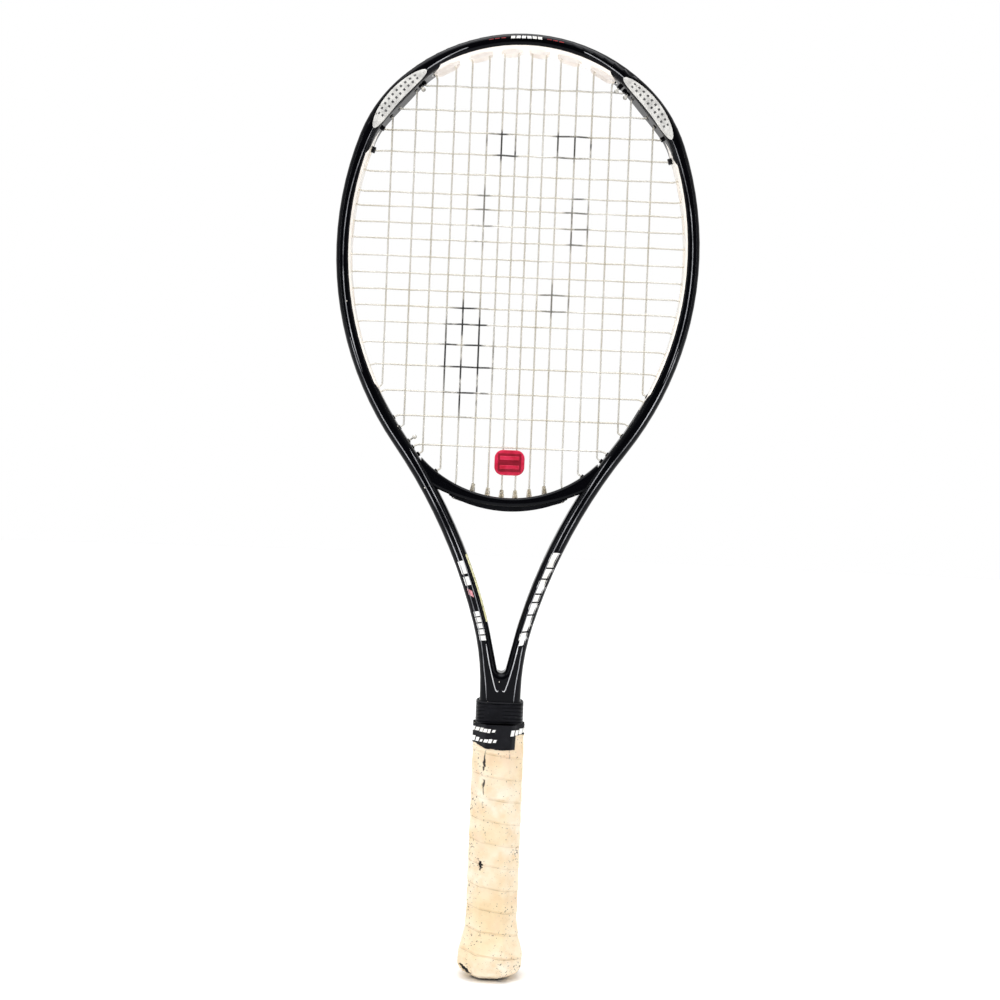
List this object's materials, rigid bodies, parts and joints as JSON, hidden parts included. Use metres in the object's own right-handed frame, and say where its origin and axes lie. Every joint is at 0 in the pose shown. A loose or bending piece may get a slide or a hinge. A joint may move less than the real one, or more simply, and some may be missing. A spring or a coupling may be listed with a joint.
{
  "type": "tennis racket",
  "caption": "Strung tennis racket with long oval string ports, open throat, string dampener, rubber collar and a wrapped octagonal grip with a flared butt.",
  "frame": {"origin": "middle of the butt end", "axes": "+Z from the butt to the head, +X across the face to the right as seen from the front, +Y through the face to the back"},
  "size_m": [0.2638, 0.0424, 0.6858],
  "materials": {
    "frame_lacquer": "black gloss lacquer over carbon composite, inner walls white",
    "strip_nylon": "moulded black nylon",
    "clear_tubing": "yellowed clear tubing",
    "insert_pearl": "pearl white lacquer",
    "string_nylon": "translucent multifilament string",
    "dampener_rubber": "moulded red rubber",
    "collar_rubber": "moulded black rubber",
    "tape_vinyl": "black vinyl tape",
    "overgrip_felt": "worn cream overgrip",
    "base_grip_foam": "black cushion grip",
    "pallet_foam": "moulded foam",
    "cap_nylon": "moulded black nylon",
    "staple_steel": "galvanised wire"
  },
  "bodies": {
    "racket": {"frame_hairpin": "frame_lacquer", "throat_bridge": "frame_lacquer", "bumper_guard": "strip_nylon", "shoulder_grommets_left": "strip_nylon", "shoulder_grommets_right": "strip_nylon", "corner_grommets_left": "strip_nylon", "corner_grommets_right": "strip_nylon", "throat_grommets": "strip_nylon", "throat_sleeves": "clear_tubing", "port_plug_left": "collar_rubber", "port_plug_right": "collar_rubber", "face_insert_front_left": "insert_pearl", "face_insert_front_right": "insert_pearl", "face_insert_back_left": "insert_pearl", "face_insert_back_right": "insert_pearl", "main_string": "string_nylon", "cross_string": "string_nylon", "finishing_tape": "tape_vinyl", "overgrip": "overgrip_felt", "base_grip": "base_grip_foam", "handle_pallet_front": "pallet_foam", "handle_pallet_back": "pallet_foam", "butt_cap": "cap_nylon", "butt_staples": "staple_steel"},
    "dampener": {"string_dampener": "dampener_rubber"},
    "collar": {"grip_collar": "collar_rubber"},
    "door": {"butt_door": "cap_nylon"}
  },
  "joints": [
    {"name": "dampener_slide", "type": "slide", "parent": "racket", "child": "dampener", "axis": [0, 0, 1], "range_m": [-0.01, 0]},
    {"name": "collar_slide", "type": "slide", "parent": "racket", "child": "collar", "axis": [0, 0, 1], "range_m": [0, 0.012]},
    {"name": "door_pull", "type": "slide", "parent": "racket", "child": "door", "axis": [0, 0, -1], "range_m": [0, 0.008]}
  ]
}
